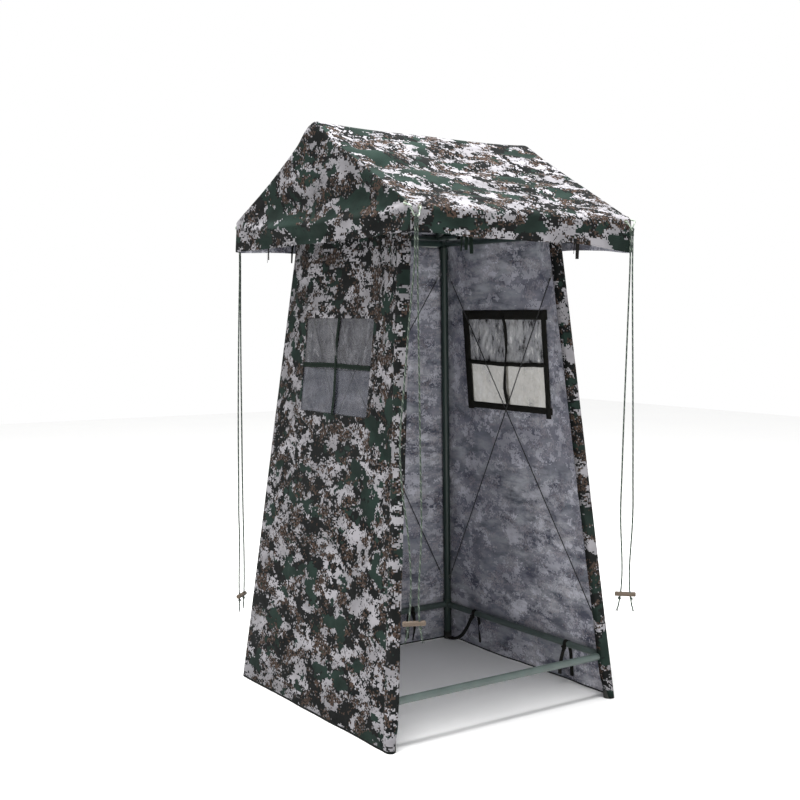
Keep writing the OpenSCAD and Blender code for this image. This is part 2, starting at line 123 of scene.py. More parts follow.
class Shader:
    """A material and its nodes. A socket takes a number, a colour or another node's output."""

    def __init__(self, name, **sockets):
        self.material = bpy.data.materials.new(name)
        self.material.use_nodes = True
        self.tree = self.material.node_tree
        self.bsdf = self.tree.nodes["Principled BSDF"]
        for label, value in sockets.items():
            self.set(label.replace("_", " "), value)

    def put(self, socket, value):
        if isinstance(value, bpy.types.NodeSocket):
            self.tree.links.new(value, socket)
        else:
            socket.default_value = value

    def set(self, label, value):
        self.put(next(s for s in self.bsdf.inputs if s.name.lower() == label.lower()), value)

    def add(self, kind, inputs=(), output=0, **settings):
        node = self.tree.nodes.new("ShaderNode" + kind)
        for key, value in settings.items():
            setattr(node, key, value)
        for key, value in dict(inputs).items():
            self.put(node.inputs[key], value)
        return node.outputs[output]

    def flat(self):
        """Coordinates on the flat cloth, in metres."""
        return self.add("UVMap", uv_map="flat")

    def flat_xy(self):
        """The same coordinates as two numbers, across and along."""
        across = self.add("SeparateXYZ", {0: self.flat()})
        return across, across.node.outputs[1]

    def place(self):
        return self.add("TexCoord", output="Object")

    def math(self, operation, a, b=0.0):
        return self.add("Math", {0: a, 1: b}, operation=operation)

    def times(self, a, b):
        return self.math("MULTIPLY", a, b)

    def wave(self, value, length):
        """A sine wave of that length."""
        return self.math("SINE", self.times(value, 2 * pi / length))

    def vector(self, operation, a, b):
        return self.add("VectorMath", {0: a, 1: b}, operation=operation)

    def stretch(self, where, *by):
        return self.vector("MULTIPLY", where, by)

    def noise(self, where, scale, seed=0.0, detail=2.0, rough=0.5):
        return self.add("TexNoise", {"Vector": where, "W": seed, "Scale": scale,
                                     "Detail": detail, "Roughness": rough}, noise_dimensions="4D")

    def span(self, value, low, high, start=0.0, end=1.0):
        """value from low..high carried to start..end, and held there outside it."""
        return self.add("MapRange", {"Value": value, "From Min": low, "From Max": high,
                                     "To Min": start, "To Max": end})

    def mix(self, factor, a, b):
        node = self.tree.nodes.new("ShaderNodeMix")
        node.data_type = "RGBA"
        colours = [s for s in node.inputs if s.type == "RGBA"]
        self.put(node.inputs["Factor"], factor)
        self.put(colours[0], a)
        self.put(colours[1], b)
        return next(s for s in node.outputs if s.type == "RGBA")

    def finish(self, base, rough, *bumps):
        """Base colour, roughness and bumps one over another, each a height and its depth."""
        self.set("Base Color", base)
        self.set("Roughness", rough)
        normal = None
        for height, depth in bumps:
            inputs = {"Height": height, "Distance": depth}
            if normal:
                inputs["Normal"] = normal
            normal = self.add("Bump", inputs)
        if normal:
            self.set("Normal", normal)
        return self.material


def rgb(*levels):
    """A screen colour, 0 to 255, as the linear one that a shader takes."""
    return (*[(c / 255 / 12.92 if c <= 10 else ((c / 255 + 0.055) / 1.055) ** 2.4)
              for c in levels], 1.0)


def tinted(tone, amount):
    """A colour made darker (amount below 1) or lighter."""
    return tuple(c * amount for c in tone[:3]) + (1,)


CELL = 0.0055  # side of a square of the print
HEM_DEPTH = 0.009
THREADS = 900  # to the metre


def camouflage(s, light, green, brown, dark):
    """A blocky woodland print: each square cell of the cloth is one of four colours."""
    cells = s.vector("SNAP", s.flat(), (CELL, CELL, CELL))
    middle = s.stretch(s.vector("ADD", cells, (CELL / 2, CELL / 2, 0)), 0.70, 1.12, 1.0)
    grain = s.add("TexWhiteNoise", {"Vector": middle, "W": 3.0}, output="Value",
                  noise_dimensions="4D")
    shaken = s.math("SUBTRACT", grain, 0.5)

    def field(scale, seed, ragged, jitter):
        """A cloudy value for each cell, with some cells shaken up or down."""
        return s.math("ADD", s.noise(middle, scale, seed, 5.0, ragged), s.times(shaken, jitter))

    def over(under, value, limit, upper):
        return s.mix(s.math("GREATER_THAN", value, limit), under, upper)

    pale = s.mix(s.span(s.noise(middle, 7.0, 2.0), 0.4, 0.6), light, tinted(light, 0.66))
    pale = over(pale, field(16.0, 71.0, 0.75, 0.14), 0.60, tinted(light, 0.42))
    shadow = over(dark, field(16.0, 79.0, 0.75, 0.14), 0.60, brown)
    leaf = s.mix(s.span(s.noise(middle, 9.0, 6.0), 0.4, 0.6), green, tinted(green, 0.55))
    # The speckled patches are brown with dark and light cells strewn through them.
    speckled = over(over(brown, grain, 0.55, dark), grain, 0.90, tinted(light, 0.45))
    print_ = over(pale, field(11.0, 37.0, 0.70, 0.03), 0.494, shadow)
    print_ = over(print_, field(11.0, 11.0, 0.70, 0.06), 0.526, speckled)
    return over(print_, field(9.5, 23.0, 0.58, 0.02), 0.553, leaf)


def fabric_finish(s, cloth, hem, scale, low, high):
    """A plain weave with a darker turned hem where the flat height starts."""
    along = s.flat_xy()[1]
    base = s.mix(s.math("LESS_THAN", along, HEM_DEPTH), cloth, hem)
    rough = s.span(s.noise(s.flat(), scale, 5.0), 0.3, 0.7, low, high)
    crumple = s.noise(s.flat(), 45.0, 7.0, 3.0)
    where = s.flat()
    bands = [s.add("TexWave", {"Vector": where, "Scale": THREADS / 20, "Distortion": 0.4,
                               "Detail": 1.0}, output="Fac", wave_type="BANDS", bands_direction=d)
             for d in "XY"]
    return s.finish(base, rough, (crumple, 0.0012), (s.times(*bands), 0.00025))


def camouflage_outside(name):
    """The printed face of the fabric."""
    s = Shader(name, specular_ior_level=0.07)
    print_ = camouflage(s, rgb(145, 143, 147), rgb(29, 43, 38), rgb(62, 50, 43), rgb(14, 16, 16))
    fade = s.span(s.noise(s.flat(), 2.5, 51.0, 3.0), 0.35, 0.75, 0.0, 0.08)
    return fabric_finish(s, s.mix(fade, print_, rgb(84, 84, 84)), rgb(22, 25, 24), 30.0, 0.72, 0.9)


def camouflage_inside(name):
    """The back of the fabric: its faint print and its blue-grey clouds and streaks are partly the
    cloth's own colour and partly painted skylight shining through it.
    """
    s = Shader(name, sheen_weight=0.06, specular_ior_level=0.1)
    print_ = camouflage(s, rgb(204, 204, 214), rgb(120, 126, 134), rgb(138, 131, 134),
                        rgb(76, 79, 92))
    # The blue-grey clouds and streaks below are painted skylight shining through the cloth.
    level = s.stretch(s.flat(), 1.0, 2.6, 1.0)
    streaks = s.span(s.noise(level, 5.0, 61.0, 6.0, 0.68), 0.40, 0.60)
    shine_through_patch = s.span(s.noise(level, 2.2, 67.0, 3.0, 0.5), 0.40, 0.62)
    cloud = s.mix(streaks, rgb(78, 80, 93), rgb(232, 232, 240))
    cloud = s.mix(s.times(shine_through_patch, 0.7), cloud, rgb(138, 138, 152))
    return fabric_finish(s, s.mix(0.5, print_, cloud), rgb(30, 32, 34), 25.0, 0.75, 0.92)


def webbing(name, tint, edge, width):
    """Flat woven tape: cross ribs, a twill slant and a line of stitches near each edge."""
    s = Shader(name, specular_ior_level=0.1)
    across, along = s.flat_xy()
    ribs = s.wave(along, 0.0022)
    slant = s.wave(s.math("ADD", along, s.times(across, 1.5)), 0.005)
    from_seam = s.math("SUBTRACT", s.math("ABSOLUTE", across), width / 2 - 0.004)
    seam = s.math("LESS_THAN", s.math("ABSOLUTE", from_seam), 0.0006)
    stitch = s.times(seam, s.math("GREATER_THAN", s.wave(along, 0.005), -0.3))
    worn = s.span(s.noise(s.flat(), 40.0, 3.0, 3.0), 0.35, 0.7)
    cloth = s.mix(s.times(s.span(slant, -1.0, 1.0), worn), tint, edge)
    return s.finish(s.mix(stitch, cloth, tinted(edge, 2.2)), s.span(worn, 0.0, 1.0, 0.7, 0.92),
                    (ribs, 0.00018), (slant, 0.0002), (stitch, 0.0006))


def enamel(name, tint, chip, rough):
    """Sprayed tube paint: slightly mottled, rubbed thin in small scratches."""
    s = Shader(name, specular_ior_level=0.45, coat_weight=0.15, coat_roughness=0.3)
    where = s.place()
    mottle = s.span(s.noise(where, 14.0, 1.0, 4.0, 0.6), 0.3, 0.7)
    drawn = s.stretch(where, 160.0, 160.0, 14.0)
    scratch = s.span(s.noise(drawn, 1.0, 4.0, 3.0, 0.7), 0.68, 0.74)
    rub = s.times(scratch, s.span(s.noise(where, 6.0, 8.0), 0.5, 0.65))
    return s.finish(s.mix(rub, s.mix(mottle, tint, tinted(tint, 1.45)), chip),
                    s.span(mottle, 0.0, 1.0, rough - 0.07, rough + 0.1),
                    (s.noise(where, 420.0, 2.0, 2.0), 0.00035),
                    (s.math("SUBTRACT", 1.0, rub), 0.0003))


def moulded(name, tint, rough):
    """Moulded rubber or plastic with a fine grain and dust in its hollows."""
    s = Shader(name, specular_ior_level=0.4)
    where = s.place()
    grain = s.noise(where, 650.0, 3.0, 2.0)
    dust = s.span(s.noise(where, 22.0, 6.0, 4.0, 0.65), 0.45, 0.75, 0.0, 0.45)
    return s.finish(s.mix(dust, tint, rgb(112, 112, 104)), s.span(dust, 0.0, 0.45, rough, 0.95),
                    (grain, 0.0004))


def metal(name, tint, rough):
    """Dull plated metal with drawn-out scuffs and darker tarnish."""
    s = Shader(name, metallic=1.0)
    where = s.place()
    tarnish = s.span(s.noise(where, 90.0, 2.0, 4.0, 0.6), 0.35, 0.7)
    scuff = s.noise(s.stretch(where, 900.0, 900.0, 120.0), 1.0, 5.0, 2.0)
    return s.finish(s.mix(tarnish, tint, tinted(tint, 0.55)),
                    s.span(scuff, 0.3, 0.7, rough - 0.08, rough + 0.15), (scuff, 0.00012))


def twisted_rope(name, tint, hollow_shade, fleck):
    """Three-strand rope: each strand of fine yarn, with a pale marker yarn; the grooves between the
    strands take a darker colour as painted shade.
    """
    s = Shader(name, sheen_weight=0.2, specular_ior_level=0.25)
    around, along = s.flat_xy()
    strand = s.math("ADD", s.times(around, 3.0), s.math("DIVIDE", along, 0.011))
    groove = s.math("ABSOLUTE", s.wave(strand, 2.0))
    yarn = s.wave(s.math("SUBTRACT", s.times(around, 9.0), s.math("DIVIDE", along, 0.006)), 1.0)
    third = s.math("FRACT", s.math("DIVIDE", strand, 3.0))
    marker = s.times(s.math("LESS_THAN", third, 0.2),
                     s.math("GREATER_THAN", s.noise(s.flat(), 260.0, 4.0), 0.42))
    # The grooves between the strands are painted darker, as painted shade.
    return s.finish(s.mix(marker, s.mix(groove, hollow_shade, tint), fleck),
                    s.span(yarn, -1.0, 1.0, 0.7, 0.9), (groove, 0.0009), (yarn, 0.00025))


def wood(name, pale, dark):
    """Turned hardwood: rings stretched into grain along the piece, with fine pores."""
    s = Shader(name, specular_ior_level=0.35)
    where = s.place()
    grain = s.add("TexWave", {"Vector": s.stretch(where, 1.0, 1.0, 3.0), "Scale": 55.0,
                              "Distortion": 6.0, "Detail": 4.0, "Detail Scale": 2.0},
                  output="Fac", wave_type="RINGS")
    pores = s.noise(s.stretch(where, 300.0, 300.0, 1400.0), 1.0, 3.0, 3.0)
    return s.finish(s.mix(s.times(grain, 0.75), pale, dark), s.span(pores, 0.3, 0.7, 0.45, 0.7),
                    (grain, 0.0003), (pores, 0.0002))


def clear_film(name, low, high, low_painted_view, high_painted_view, glint):
    """Clear vinyl that is crumpled and hazy, with creases in its upper half; its colour holds
    painted shade in the crease hollows, a painted glint on the crease ridges and painted clouds of
    reflection.

    low and high are how much the film hides in its lower and upper half; the two tints after them
    are painted light and shade of what shows through the film there, and glint is a painted
    highlight."""
    s = Shader(name, specular_ior_level=0.6, ior=1.45)
    upper = s.span(s.flat_xy()[1], WINDOW_Z - 0.02, WINDOW_Z + 0.01)
    crease = s.noise(s.stretch(s.flat(), 34.0, 15.0, 1.0), 1.0, 4.0, 5.0, 0.66)
    crumple = s.noise(s.flat(), 26.0, 8.0, 4.0, 0.6)
    reflection_cloud = s.noise(s.stretch(s.flat(), 1.7, 1.0, 1.0), 6.5, 14.0, 3.0, 0.55)
    creased = s.span(upper, 0.0, 1.0, 0.08, 1.0)
    glint_streak = s.times(s.span(crease, 0.55, 0.66), creased)
    hollow_shade = s.times(s.span(crease, 0.49, 0.38), creased)
    # Painted shade darkens the crease hollows.
    tint = s.mix(hollow_shade, s.mix(upper, low_painted_view, high_painted_view), rgb(50, 50, 52))
    # Clouds of painted reflection, some lighter and some darker.
    tint = s.mix(s.span(reflection_cloud, 0.50, 0.66, 0.0, 0.34), tint, glint)
    tint = s.mix(s.span(reflection_cloud, 0.47, 0.34, 0.0, 0.45), tint, rgb(40, 42, 50))
    # A painted glint along the crease ridges.
    base = s.mix(glint_streak, tint, glint)
    cover = s.math("ADD", s.span(upper, 0.0, 1.0, low, high), s.times(hollow_shade, 0.06))
    s.set("Alpha", s.math("ADD", cover, s.span(crumple, 0.35, 0.65, -0.04, 0.04)))
    return s.finish(base, s.span(crumple, 0.3, 0.7, 0.1, 0.35), (crease, 0.004), (crumple, 0.003))


def studio_floor(name):
    s = Shader(name, specular_ior_level=0.1)
    cloud = s.noise(s.place(), 0.8, 1.0)
    return s.finish(s.mix(cloud, rgb(243, 243, 243), rgb(246, 246, 245)), 0.9)


PRINT = camouflage_outside("printed_fabric")
REVERSE = camouflage_inside("fabric_reverse")
TAPE_BLACK = webbing("webbing_black", rgb(25, 25, 23), rgb(48, 46, 42), 0.045)
TAPE_GREEN = webbing("webbing_green", rgb(12, 22, 17), rgb(24, 37, 29), 0.020)
PAINT_DARK = enamel("enamel_dark_green", rgb(27, 42, 38), rgb(96, 104, 98), 0.42)
PAINT_PALE = enamel("enamel_grey_green", rgb(62, 73, 70), rgb(116, 122, 117), 0.45)
FITTING = enamel("fitting_green", rgb(28, 42, 36), rgb(110, 116, 108), 0.48)
RUBBER = moulded("foot_rubber", rgb(32, 34, 31), 0.72)
# Each rope's second colour is the painted shade in its grooves.
ROPE = twisted_rope("rope_green", rgb(50, 66, 56), rgb(24, 33, 28), rgb(118, 130, 116))
ROPE_PALE = twisted_rope("rope_pale", rgb(150, 166, 148), rgb(86, 100, 86), rgb(206, 212, 200))
CORD = twisted_rope("cord_black", rgb(24, 26, 26), rgb(9, 9, 9), rgb(40, 42, 41))
STEEL = metal("dull_steel", rgb(150, 152, 150), 0.42)
EYELET = metal("eyelet_metal", rgb(168, 168, 154), 0.38)
WOOD = wood("slider_wood", rgb(104, 90, 76), rgb(54, 44, 36))
# Each film's two tints are the painted light and shade seen through it, and its last colour is its
# painted glint.
FILM = {"right": clear_film("clear_film_right", 0.52, 0.84, rgb(188, 184, 174),
                            rgb(168, 169, 172), rgb(250, 250, 248)),
        "left": clear_film("clear_film_left", 0.50, 0.62, rgb(58, 60, 70), rgb(54, 54, 60),
                           rgb(120, 120, 124))}

# ---- mesh tools ----


def mesh_piece(name, verts, faces, corners=None, materials=()):
    """A mesh object; corners are each face corner's place on the flat cloth, in face order."""
    mesh = bpy.data.meshes.new(name)
    mesh.from_pydata([tuple(v) for v in verts], [], faces)
    if corners is not None:
        layer = mesh.uv_layers.new(name="flat")
        layer.data.foreach_set("uv", np.asarray(corners, np.float32).ravel())
    for m in materials:
        mesh.materials.append(m)
    mesh.shade_smooth()
    mesh.validate()
    return linked(name, mesh)


def place(piece, node, body="root"):
    """The piece rides on a body and stands for a CAD node, which it hides."""
    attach(piece, body)
    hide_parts(node)


def gaps_of(points):
    return np.linalg.norm(np.diff(points, axis=0), axis=1)


def run_along(points):
    """How far along the line each of its points is."""
    return np.concatenate([[0], np.cumsum(gaps_of(points))])


def smooth_route(points, spacing):
    """Points at even spacing on a smooth curve through the given ones."""
    p = np.array([tuple(q) for q in points], float)
    gaps = gaps_of(p)[:, None]
    slopes = np.diff(p, axis=0) / gaps
    inside = (slopes[:-1] * gaps[1:] + slopes[1:] * gaps[:-1]) / (gaps[:-1] + gaps[1:])
    lean = np.vstack([slopes[:1], inside, slopes[-1:]])
    t = np.linspace(0, 1, 16, endpoint=False)[:, None]
    fine = [(2 * t**3 - 3 * t**2 + 1) * p[i] + (t**3 - 2 * t**2 + t) * gap * lean[i]
            + (3 * t**2 - 2 * t**3) * p[i + 1] + (t**3 - t**2) * gap * lean[i + 1]
            for i, gap in enumerate(gaps[:, 0])]
    fine = np.vstack(fine + [p[-1:]])
    run = run_along(fine)
    at = np.linspace(0, run[-1], max(2, round(run[-1] / spacing) + 1))
    return np.stack([np.interp(at, run, fine[:, k]) for k in range(3)], 1)


def sweep(route, profile, across=None, closed=False):
    """Vertices, faces and face corners of a profile carried along a route.

    profile(run) gives the section's points as pairs, the first along the across direction."""
    n = len(route)
    step = np.roll(route, -1, 0) - np.roll(route, 1, 0) if closed else np.gradient(route, axis=0)
    tangents = step / np.linalg.norm(step, axis=1)[:, None]
    run = run_along(route)
    side = np.array((1, 0, 0) if abs(tangents[0][0]) < 0.8 else (0, 1, 0), float)
    verts = []
    for k in range(n):
        if across is not None:
            side = np.array(across, float)
        side = side - side @ tangents[k] * tangents[k]
        side /= np.linalg.norm(side)
        other = np.cross(tangents[k], side)
        section = np.asarray(profile(run[k]), float)
        verts.extend(route[k] + section[:, :1] * side + section[:, 1:] * other)
    m = len(section)
    faces, corners = [], []
    for k in range(n if closed else n - 1):
        far = (k + 1) % n
        v0, v1 = run[k], run[k + 1] if k + 1 < n else run[k] + run[1]
        for j in range(m):
            i = (j + 1) % m
            faces.append((k * m + j, k * m + i, far * m + i, far * m + j))
            corners.extend([(j / m, v0), ((j + 1) / m, v0), ((j + 1) / m, v1), (j / m, v1)])
    if not closed:
        for k, order in ((0, range(m - 1, -1, -1)), (n - 1, range(m))):
            faces.append(tuple(k * m + j for j in order))
            corners.extend((j / m, run[k]) for j in order)
    return verts, faces, corners


def rope_parts(route, diameter, turn=0.033, closed=False, sides=12):
    """A laid rope of three strands that twist once in each turn of its length."""
    angles = np.arange(sides) * 2 * pi / sides

    def profile(run):
        r = diameter / 2 * (0.84 + 0.16 * np.abs(np.cos(1.5 * (angles - 2 * pi * run / turn))))
        return np.stack([r * np.cos(angles), r * np.sin(angles)], 1)

    return sweep(np.asarray(route, float), profile, closed=closed)


def joined(name, parts, materials):
    """One mesh piece from several sets of vertices, faces and face corners."""
    verts, faces, corners = [], [], []
    for v, f, c in parts:
        faces.extend(tuple(i + len(verts) for i in face) for face in f)
        verts.extend(v)
        corners.extend(c)
    return mesh_piece(name, verts, faces, corners, materials)


def tape_parts(points, width, thickness, across, twist=None, spacing=0.008, taper=None):
    """A flat tape along a smooth line of points, its width along the across direction."""
    route = smooth_route(points, spacing)
    total = float(gaps_of(route).sum())
    w, t = width / 2, thickness / 2
    bevel = min(t, w) * 0.7
    outline = np.array([(-w, -t + bevel), (-w + bevel, -t), (0, -t), (w - bevel, -t),
                        (w, -t + bevel), (w, t - bevel), (w - bevel, t), (0, t), (-w + bevel, t),
                        (-w, t - bevel)])

    def profile(run):
        share = run / total
        angle = twist(share) if twist else 0.0
        scale = np.array([taper(share) if taper else 1.0, 1.0])
        return outline * scale @ np.array([[cos(angle), sin(angle)], [-sin(angle), cos(angle)]])

    verts, faces, _ = sweep(route, profile, across)
    # A tape's flat coordinates are its width, from its middle, and its length.
    m = len(outline)
    along = np.linspace(0, total, len(route))
    return verts, faces, [(outline[i % m, 0], along[i // m]) for face in faces for i in face]


def stations(*fixed, step):
    """Numbers through all the fixed ones, at most a step apart."""
    found = []
    for a, b in zip(fixed[:-1], fixed[1:]):
        found.extend(np.linspace(a, b, max(1, ceil((b - a) / step)), endpoint=False))
    return [float(x) for x in found] + [float(fixed[-1])]


def grid_parts(columns, rows, point, flat, keep=None):
    """Vertices, faces and face corners of a sheet over columns and rows of places."""
    nc, nr = len(columns), len(rows)
    verts = [point(c, r) for r in rows for c in columns]
    places = [flat(c, r) for r in rows for c in columns]
    faces, corners = [], []
    for j in range(nr - 1):
        for i in range(nc - 1):
            if keep and not keep((columns[i] + columns[i + 1]) / 2, (rows[j] + rows[j + 1]) / 2):
                continue
            face = (j * nc + i, j * nc + i + 1, (j + 1) * nc + i + 1, (j + 1) * nc + i)
            faces.append(face)
            corners.extend(places[k] for k in face)
    return verts, faces, corners


def turned_over(part):
    """A sheet with its faces turned to look the other way."""
    verts, faces, corners = part
    return (verts, [face[::-1] for face in faces],
            [corners[i + k] for i in range(0, len(corners), 4) for k in (3, 2, 1, 0)])


def cleaned(piece):
    """Joins vertices that meet, and drops faces with no area and loose points."""
    weld = 0.0002
    bm = bmesh.new()
    bm.from_mesh(piece.data)
    bmesh.ops.remove_doubles(bm, verts=bm.verts, dist=weld)
    bmesh.ops.dissolve_degenerate(bm, edges=bm.edges, dist=weld / 4)
    bmesh.ops.delete(bm, geom=[v for v in bm.verts if not v.link_faces], context="VERTS")
    bm.to_mesh(piece.data)
    bm.free()


def thicken(piece, thickness):
    """Gives a sheet its thickness, inwards, with the fabric's reverse on the inner face."""
    smooth = piece.modifiers.new("smooth", "SUBSURF")
    smooth.levels = smooth.render_levels = 1
    smooth.boundary_smooth = "PRESERVE_CORNERS"
    shell = piece.modifiers.new("thickness", "SOLIDIFY")
    shell.thickness = thickness
    shell.offset = -1
    shell.material_offset = 1
    shell.material_offset_rim = 0


def drift(x, y, seed):
    """Smooth noise, about -1 to 1."""
    return noise.noise(Vector((x, y, seed)))


def eased(x, low, high):
    t = min(1.0, max(0.0, (x - low) / (high - low)))
    return t * t * (3 - 2 * t)


# ---- guy lines ----


def strand_route(corner, s):
    """A strand's points, from its knot at the roof corner to its frayed end."""
    drop = SLIDER_DROP[corner]
    bow = 0.040 if corner == "front_left" and s == -1 else 0.004
    hole = HOLE_GAP / 2
    points = [(s * 0.0042, 0, -0.024), (s * 0.0046, 0, -0.060), (s * 0.005, 0, -0.150),
              (s * (0.007 + bow / 4), 0.002, -0.300), (s * (0.012 + bow * 0.7), 0.004, -0.600),
              (s * (0.016 + bow), 0.004, -0.850), (s * (0.021 + bow * 0.6), 0.002, 0.480 - drop),
              (s * (hole + bow * 0.1), 0.001, 0.370 - drop), (s * hole, 0, 0.335 - drop),
              (s * hole, 0, -drop - 0.032), (s * (hole + 0.003), s * 0.002, -drop - 0.048),
              (s * (hole + 0.007), s * 0.003, -drop - 0.062)]
    turn = Matrix.Rotation(radians(SLIDER_TURN[corner]), 3, "Z")
    return smooth_route([hang_point(corner) + turn @ Vector(p) for p in points], 0.0035)


def knot_parts(centre, size, diameter, tilt=0.0):
    """A tight overhand knot of rope."""
    t = np.arange(64) * 2 * pi / 64
    loop = np.stack([np.sin(t) + 2 * np.sin(2 * t), np.cos(t) - 2 * np.cos(2 * t),
                     -1.3 * np.sin(3 * t)], 1)
    spin = np.array(Matrix.Rotation(tilt, 3, "Y") @ Matrix.Rotation(0.6, 3, "X"))
    return rope_parts(loop @ spin.T * size / 3 + np.array(centre), diameter, closed=True, sides=10)


def fray_parts(tip, direction, seed):
    """Loose yarns that fan out of a cut rope end."""
    parts = []
    out = Vector(direction).normalized()
    side = out.orthogonal().normalized()
    for i in range(9):
        angle = i * 2.4 + seed
        lean = 0.12 + 0.05 * (i % 4)
        outward = side * cos(angle) + out.cross(side) * sin(angle)
        way = out + lean * outward
        start = Vector(tip) - out * 0.004 + outward * 0.0016
        length = 0.014 + 0.003 * (i % 3)
        line = [start, start + way * length * 0.5 + UP * 0.0006, start + way * length - UP * 0.001]
        parts.append(rope_parts(smooth_route(line, 0.004), 0.0013, turn=0.01, sides=5))
    return parts


def add_guy_line(corner):
    """Two strands, their knots and frayed ends, hung on the loop at a roof corner."""
    body = "guy_" + corner
    node = "guy_rope_" + corner
    hang = hang_point(corner)
    sx, sy = CORNERS[corner]
    axis = Vector((sx, -sy, 0)).normalized()
    turn = Matrix.Rotation(radians(SLIDER_TURN[corner]), 3, "Z")
    t = np.arange(40) * 2 * pi / 40
    loop = [hang + 0.0073 * (UP * cos(a) + UP.cross(axis) * sin(a)) for a in t]
    # Three wraps below the loop, round both strands.
    wraps = [hang + turn @ Vector((0.0062 * cos(a), 0.0048 * sin(a), -0.009 - 0.0155 * k / 59))
             for k, a in enumerate(np.linspace(0, 6 * pi, 60))]
    head = joined("guy_knot_" + corner,
                  [rope_parts(np.array([tuple(p) for p in loop]), 0.0066, closed=True),
                   rope_parts(np.array([tuple(p) for p in wraps]), 0.0064)], [ROPE])
    place(head, node, body)
    for s, label in ((-1, "a"), (1, "b")):
        route = strand_route(corner, s)
        strand = joined(f"guy_strand_{label}_{corner}", [rope_parts(route, ROPE_D)], [ROPE])
        place(strand, node, body)
        knot_at = Vector((s * HOLE_GAP / 2, 0, -SLIDER_DROP[corner] - 0.0185))
        knot = knot_parts(hang + turn @ knot_at, 0.0058, 0.0058, 0.4 * s)
        fray = fray_parts(route[-1], route[-1] - route[-4], seed=s + sx + 2 * sy)
        end = joined(f"guy_end_{label}_{corner}", [knot] + fray, [ROPE])
        place(end, node, body)


def add_sling(corner):
    """The rope that passes through the two eyelets at a corner, with a short level bight."""
    sx, sy = CORNERS[corner]
    gable = Vector((sx * (HALF_L + 0.0055), sy * (HALF_D - 0.032), EAVE_H + 0.006))
    valance = Vector((sx * (HALF_L - 0.042), sy * (HALF_D + 0.0055), EAVE_H - 0.010))
    bend = Vector((sx * (HALF_L + 0.006), sy * (HALF_D + 0.006), EAVE_H - 0.006))
    bight = Vector((sx, -sy, 0)).normalized() * 0.008
    hang = hang_point(corner)
    points = [gable - Vector((sx * 0.006, 0, 0)), gable, gable.lerp(bend, 0.5), bend,
              bend.lerp(hang + bight, 0.6), hang + bight, hang - bight,
              valance.lerp(hang - bight, 0.4), valance, valance - Vector((0, sy * 0.006, 0))]
    sling = joined("sling_" + corner, [rope_parts(smooth_route(points, 0.003), 0.006)], [ROPE_PALE])
    place(sling, "corner_slings")


for corner_name in CORNERS:
    add_guy_line(corner_name)
    add_sling(corner_name)

# ---- roof cover ----

SLOPE = hypot(HALF_D, RISE)
ROOF_CLOTH, WALL_CLOTH, SLEEVE_CLOTH = 0.0022, 0.0020, 0.0016  # thicknesses


def bell(*offsets):
    """1 where the offsets are all 0, and about 0 from 2 on."""
    return np.exp(-sum(q**2 for q in offsets))


def roof_z(y):
    return RIDGE_H - abs(y) / HALF_D * RISE


def gable_z(y, r):
    """A gable's height; r is -1 at its hem, 0 at the eaves and 1 at the slopes."""
    return EAVE_H + r * (VALANCE if r <= 0 else roof_z(y) - EAVE_H)


def slope_fold(x, s):
    """How far a slope sags between its tubes, with its folds; s is the distance down."""
    a = x / HALF_L
    sag = -0.017 * sin(pi * min(1.0, s / SLOPE))
    bowed = s + 0.05 * (1 - a * a)
    folds = (0.036 * drift(x * 1.7 + 3, bowed * 12, 1.7)
             + 0.012 * drift(x * 3.6, bowed * 30, 8.1))
    wide = 0.014 * drift(x * 2.3, s * 3.1, 4.4)
    # The fabric lies still on the rafters, the ridge pole and the eave rail.
    clear = (eased(HALF_L - abs(x), 0.038, 0.13) * eased(s, 0.030, 0.11)
             * eased(SLOPE - s, 0.045, 0.12))
    return (sag + folds + wide) * clear


def gable_fold(y, z, top):
    """Folds of a gable, drawn from its eave corners towards the middle; above 0 is outwards."""
    edge = eased(top - z, 0.0, 0.08)
    ends = 1 - min(1.0, abs(y) / HALF_D) ** 6
    corner = min(hypot(y - k * HALF_D, z - EAVE_H - 0.01) for k in (-1, 1))
    angle = min(atan2(z - EAVE_H + 0.05, HALF_D - abs(y) + 0.02), 1.2)
    drawn = 0.010 * sin(angle * 26 + 2 * drift(y, z, 2.2)) * np.exp(-corner / 0.35)
    soft = 0.018 * drift(y * 3.0, z * 3.4, 9.3) + 0.010 * drift(y * 8, z * 7, 5.5)
    # The fabric hangs forward over the eave rail in a soft roll, lowest half way along.
    roll = z - EAVE_H + 0.035 * ends
    ledge = 0.036 * bell(roll / 0.020) - 0.014 * bell((roll - 0.09) / 0.05)
    fold = (drawn + soft + ledge) * edge * ends
    if fold > 0:
        return fold
    return fold * eased(abs(z - EAVE_Z), 0.018, 0.07) * eased(top - z, 0.05, 0.12)


def valance_wave(along, reach, drop, seed):
    """Shallow scallops of a hanging valance, more towards its hem."""
    ends = 1 - min(1.0, abs(along) / reach) ** 8
    wave = 0.012 * drift(along * 5.5, 0.3, seed) + 0.007 * drift(along * 13, 0.9, seed)
    return wave * ends * drop**1.3


